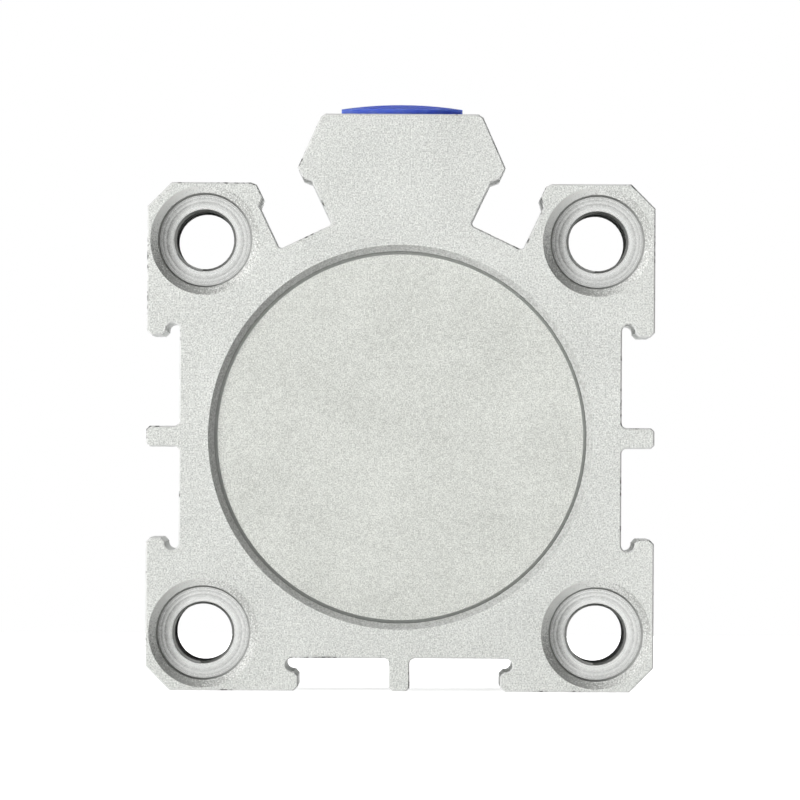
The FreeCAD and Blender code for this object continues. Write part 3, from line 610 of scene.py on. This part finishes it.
def make_thread(name, wall, crest, pitch, mouth, length, centre, axis, finish, body):
    """A closed right-hand ridge on the inside of a round wall, cut flush at the mouth of the hole."""
    inward = math.copysign(1.0, length)
    turning = -inward if axis == "Y" else inward
    steps = round(abs(length) / pitch * STEPS_PER_TURN)
    root = wall + BURIED
    profile = ((root, -ROOT_HALF), (crest, -CREST_HALF), (crest, CREST_HALF), (root, ROOT_HALF))
    mesh = bpy.data.meshes.new(name)
    shape = bmesh.new()
    rows = []
    for step in range(steps + 1):
        angle = START_ANGLE + turning * math.tau * step / STEPS_PER_TURN
        turns = step / STEPS_PER_TURN - FIRST_CUT
        fade = min(1.0, (steps - step) / FADE_STEPS)
        row = []
        for radius, shift in profile:
            reach = radius if radius > wall else wall + (crest - wall) * fade
            across = Vector((math.cos(angle), math.sin(angle))) * reach
            along = mouth + inward * max(0.0, (turns + shift) * pitch)
            spot = (across.x, along, across.y) if axis == "Y" else (across.x, across.y, along)
            row.append(shape.verts.new(Vector(spot) + centre))
        rows.append(row)
    for here, there in zip(rows, rows[1:]):
        for i in range(4):
            j = (i + 1) % 4
            shape.faces.new((here[i], here[j], there[j], there[i]))
    shape.faces.new(rows[0])
    shape.faces.new(reversed(rows[-1]))
    bmesh.ops.recalc_face_normals(shape, faces=shape.faces)
    shape.to_mesh(mesh)
    shape.free()
    mesh.materials.append(finish)
    mesh.shade_smooth()
    mesh.set_sharp_from_angle(angle=SHARP_ANGLE)
    thread = bpy.data.objects.new(name, mesh)
    scene.collection.objects.link(thread)
    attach(thread, body)


print("A thread has", STEPS_PER_TURN, "steps to the turn")

# %% Cut the threads of the corner holes
HOLE_PITCH = 1.0 * MM
HOLE_CREST = 2.5 * MM
THREAD_LENGTH = 9.4 * MM

thread_count = 0
for end, floor_y, inward in (("rear", hole_floors[0], 1), ("front", hole_floors[1], -1)):
    for level, z in (("upper", hole_offset), ("lower", -hole_offset)):
        for side, x in (("left", -hole_offset), ("right", hole_offset)):
            make_thread(
                f"{end}_{level}_{side}_thread", hole_wall, HOLE_CREST, HOLE_PITCH,
                floor_y, inward * THREAD_LENGTH, Vector((x, 0, z)), "Y",
                thread_cut, "housing",
            )
            thread_count += 1
print("Corner hole threads:", thread_count)

# %% Cut the threads of the ports and the rod end
PORT_PITCH = 0.907 * MM
PORT_CREST = 4.3 * MM
PORT_THREAD_DEPTH = 6.5 * MM
THREAD_INSET = 0.5 * MM
ROD_CREST = 2.48 * MM
ROD_RUN_OUT = 1.6 * MM

for name, port in zip(("head_port_thread", "rod_port_thread"), ports):
    make_thread(
        name, port_wall, PORT_CREST, PORT_PITCH,
        port.z - THREAD_INSET, THREAD_INSET - PORT_THREAD_DEPTH, Vector((port.x, port.y, 0)), "Z",
        port_cut, "housing",
    )
rod_hole = mounts["rod_end_thread"]["dims"]
rod_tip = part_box("piston_rod")[1].y
make_thread(
    "rod_end_thread", rod_hole["r_mm"] * MM, ROD_CREST, HOLE_PITCH,
    rod_tip - THREAD_INSET, ROD_RUN_OUT - rod_hole["length_mm"] * MM, Vector((0, 0, 0)), "Y",
    ground_chrome, "rod",
)
print("Port threads: 2, rod thread: 1")

# %% [markdown]
# ## Floor and lights
# The cylinder lies on its flat bottom side on a pale floor. The key light stands to the left of the
# camera, a weaker one behind reaches the far end, and a faint one above reaches the plugs. Metal
# already mirrors the white room, so the lights are hidden from mirror rays, which would show them as
# burnt-out patches. A dark card to the right, which the camera does not see, keeps the room's white
# off one side, so that metal which looks to the right turns darker. The floor adds a share of its own
# white for the camera, and less of it in a patch round the far end, where the shadow falls.

# %% Lay the floor
FLOOR_HALF = 1.0
FLOOR_GAP = 0.02 * MM
PATCH_WHITE = 0.54
FAR_WHITE = 1.0
PATCH_MM = 60.0
FAR_MM = 170.0
PATCH_CENTRE_MM = (0.0, 130.0, 0.0)
MIRRORED_SHARE = 0.7

floor_mesh = bpy.data.meshes.new("floor")
floor_z = barrel_low.z - FLOOR_GAP
floor_corners = [(-1, -1), (1, -1), (1, 1), (-1, 1)]
floor_points = [(x * FLOOR_HALF, y * FLOOR_HALF, floor_z) for x, y in floor_corners]
floor_mesh.from_pydata(floor_points, [], [(0, 1, 2, 3)])
floor = bpy.data.objects.new("floor", floor_mesh)
scene.collection.objects.link(floor)

pale_floor = bpy.data.materials.new("pale_floor")
pale_floor.use_nodes = True
pale_floor.node_tree.nodes.clear()
floor_rays = add(pale_floor, "LightPath")
floor_seen = calculate(
    pale_floor, "MAXIMUM", floor_rays.outputs["Is Camera Ray"], floor_rays.outputs["Is Transmission Ray"]
)
floor_mirrored = calculate(pale_floor, "MULTIPLY", floor_rays.outputs["Is Glossy Ray"], MIRRORED_SHARE)
floor_seen = calculate(pale_floor, "MAXIMUM", floor_seen, floor_mirrored)
matt = add(pale_floor, "BsdfDiffuse", {"Color": (0.86, 0.86, 0.86, 1.0)})
own_white = add(pale_floor, "Emission", {"Color": (1.0, 1.0, 1.0, 1.0)})
spot = place_in_mm(pale_floor)
away = add(pale_floor, "VectorMath", {0: spot, 1: PATCH_CENTRE_MM}, operation="DISTANCE")
own_share = number_by(pale_floor, away.outputs["Value"], PATCH_WHITE, FAR_WHITE, PATCH_MM, FAR_MM)
feed(pale_floor, calculate(pale_floor, "MULTIPLY", floor_seen, own_share), own_white.inputs["Strength"])
floor_sum = add(pale_floor, "AddShader", {0: matt.outputs[0], 1: own_white.outputs[0]})
add(pale_floor, "OutputMaterial", {"Surface": floor_sum.outputs[0]})
floor_mesh.materials.append(pale_floor)
print("Floor at z =", round(floor_z / MM, 2), "mm")

# %% Place the lights and the dark card
LIT_POINT = Vector((0.0, 0.02, 0.0))
CARD_X = 0.14
CARD_Y = (-0.9, -0.01)
CARD_Z = (-0.02, 0.5)


def aim(thing, target):
    """Turns a light or a camera so that it looks at a point."""
    thing.rotation_mode = "QUATERNION"
    thing.rotation_quaternion = (target - thing.location).to_track_quat("-Z", "Y")


def add_softbox(name, location, size, power):
    """A square soft light, size metres across, that looks at the cylinder."""
    lamp = bpy.data.lights.new(name, "AREA")
    lamp.shape = "SQUARE"
    lamp.size = size
    lamp.energy = power
    softbox = bpy.data.objects.new(name, lamp)
    softbox.location = location
    softbox.visible_camera = False
    softbox.visible_glossy = False
    scene.collection.objects.link(softbox)
    aim(softbox, LIT_POINT)


add_softbox("key_light", Vector((-0.86, -0.975, 0.1)), 0.75, 29.5)
add_softbox("back_light", Vector((0.55, 1.15, 0.2)), 0.6, 14.0)
add_softbox("top_light", Vector((0.0, 0.5, 1.1)), 0.6, 5.0)

card_mesh = bpy.data.meshes.new("dark_card")
card_sides = ((0, 0), (1, 0), (1, 1), (0, 1))
card_points = [(CARD_X, CARD_Y[far], CARD_Z[top]) for far, top in card_sides]
card_mesh.from_pydata(card_points, [], [(0, 1, 2, 3)])
card = bpy.data.objects.new("dark_card", card_mesh)
scene.collection.objects.link(card)
card.visible_camera = False
card_paint = start_finish("card_paint", (0.03, 0.03, 0.03), 0.0, 0.5)[0]
card_mesh.materials.append(card_paint)
print("Three soft lights and one dark card")

# %% [markdown]
# ## Camera
# The picture looks square on at the rear end from about three metres with a very long lens, so that
# hardly any of the sides shows. The lens is worked out from the scale of the picture: pixels to the
# millimetre at the rear face.

# %% Place the camera
IMAGE_WIDTH = 800
PIXELS_PER_MM = 11.55
CAMERA_PLACE = Vector((0.0, -3.1, -2.0 * MM))
AIM_POINT = Vector((-0.05 * MM, 0.0, 3.23 * MM))
ROLL = math.radians(0.3)

camera_data = bpy.data.cameras.new("camera")
camera_data.sensor_width = 36.0
camera_data.lens = PIXELS_PER_MM / MM * -CAMERA_PLACE.y / IMAGE_WIDTH * camera_data.sensor_width
camera_data.clip_start = 0.1
camera_data.clip_end = 50.0
camera = bpy.data.objects.new("camera", camera_data)
camera.location = CAMERA_PLACE
aim(camera, AIM_POINT)
camera.rotation_quaternion = camera.rotation_quaternion @ Quaternion((0, 0, 1), ROLL)
scene.collection.objects.link(camera)
scene.camera = camera
print("Lens:", round(camera_data.lens), "mm")
